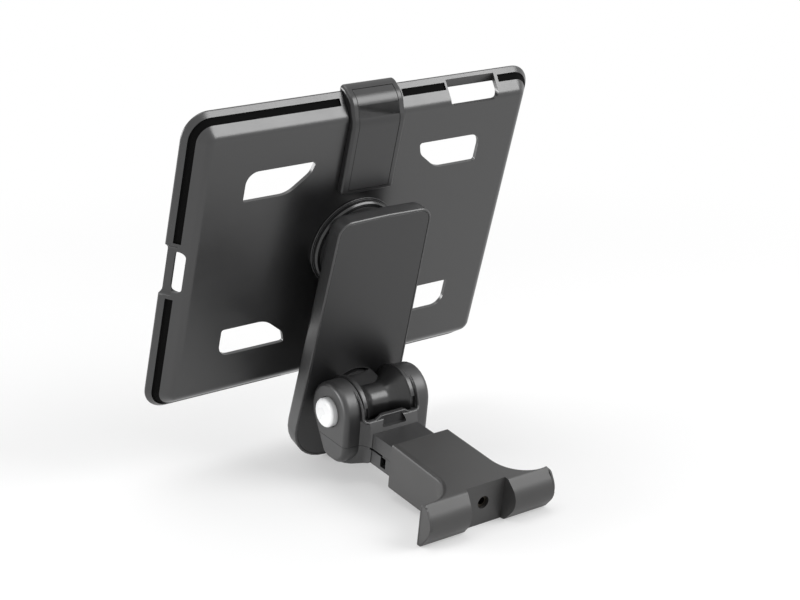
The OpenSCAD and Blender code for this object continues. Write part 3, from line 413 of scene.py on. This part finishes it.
def seen_white(nodes, links):
    """The socket that is 1 for rays that look at the white, see it mirrored or see it through
    glass, and 0 for the light that it gives."""
    rays = nodes.new("ShaderNodeLightPath")
    looked_at = nodes.new("ShaderNodeMath")
    looked_through = nodes.new("ShaderNodeMath")
    looked_at.operation = looked_through.operation = "MAXIMUM"
    links.new(rays.outputs["Is Camera Ray"], looked_at.inputs[0])
    links.new(rays.outputs["Is Glossy Ray"], looked_at.inputs[1])
    links.new(looked_at.outputs[0], looked_through.inputs[0])
    links.new(rays.outputs["Is Transmission Ray"], looked_through.inputs[1])
    return looked_through.outputs[0]


def white_table(core=0.36, inner=0.26, outer=0.80):
    """White paper that takes the shadows near the object and fades to the room's white: the
    share of plain white rises from core to 1 between the radii inner and outer."""
    material = bpy.data.materials.new("white table")
    material.use_nodes = True
    nodes, links = material.node_tree.nodes, material.node_tree.links
    shader = nodes["Principled BSDF"]
    shader.inputs["Base Color"].default_value = (0.9, 0.9, 0.9, 1)
    shader.inputs["Roughness"].default_value = 0.7
    white = nodes.new("ShaderNodeEmission")
    place = nodes.new("ShaderNodeTexCoord")
    radius = nodes.new("ShaderNodeVectorMath")
    radius.operation = "LENGTH"
    fade = nodes.new("ShaderNodeMapRange")
    fade.interpolation_type = "SMOOTHSTEP"
    fade.inputs["From Min"].default_value = inner
    fade.inputs["From Max"].default_value = outer
    fade.inputs["To Min"].default_value = core
    fade.inputs["To Max"].default_value = 1.0
    share = nodes.new("ShaderNodeMath")
    share.operation = "MULTIPLY"
    join = nodes.new("ShaderNodeMixShader")
    links.new(place.outputs["Object"], radius.inputs[0])
    links.new(radius.outputs["Value"], fade.inputs["Value"])
    links.new(fade.outputs["Result"], share.inputs[0])
    links.new(seen_white(nodes, links), share.inputs[1])
    links.new(share.outputs[0], join.inputs["Fac"])
    links.new(shader.outputs["BSDF"], join.inputs[1])
    links.new(white.outputs["Emission"], join.inputs[2])
    links.new(join.outputs["Shader"], nodes["Material Output"].inputs["Surface"])
    return material


floor_mesh.materials.append(white_table())

world = bpy.data.worlds.new("white room")
world.use_nodes = True
bpy.context.scene.world = world
nodes, links = world.node_tree.nodes, world.node_tree.links
nodes["Background"].inputs["Color"].default_value = (1, 1, 1, 1)
strength = nodes.new("ShaderNodeMapRange")
strength.inputs["To Min"].default_value = 0.4
strength.inputs["To Max"].default_value = 1.0
links.new(seen_white(nodes, links), strength.inputs["Value"])
links.new(strength.outputs["Result"], nodes["Background"].inputs["Strength"])


def aimed(place, aim):
    """The turn that makes an object at place look along its own -Z at aim."""
    return (Vector(aim) - Vector(place)).to_track_quat("-Z", "Y").to_euler()


for name, place, width, height, radiance in (
    ("beside_camera", (-0.85, 0.95, 1.0), 1.1, 0.8, 6.0),
    ("overhead", (0.1, -0.1, 1.6), 1.2, 1.2, 1.8),
    ("left_side", (1.34, -0.78, 0.30), 1.2, 0.6, 11.0),
):
    lamp = bpy.data.lights.new(name, "AREA")
    lamp.shape = "RECTANGLE"
    lamp.size = width
    lamp.size_y = height
    lamp.energy = radiance * pi * width * height
    lamp_object = bpy.data.objects.new(name, lamp)
    lamp_object.location = place
    lamp_object.rotation_euler = aimed(place, (0.0, 0.0, 0.1))
    bpy.context.scene.collection.objects.link(lamp_object)

lens = bpy.data.cameras.new("photo camera")
lens.sensor_width = 36.0
lens.lens = 85.39
camera = bpy.data.objects.new("photo camera", lens)
camera.location = (0.6635, 0.8578, 0.4687)
camera.rotation_euler = (radians(72.0781), radians(-0.3035), radians(142.3509))
bpy.context.scene.collection.objects.link(camera)
bpy.context.scene.camera = camera
bpy.context.scene.view_settings.view_transform = "Standard"
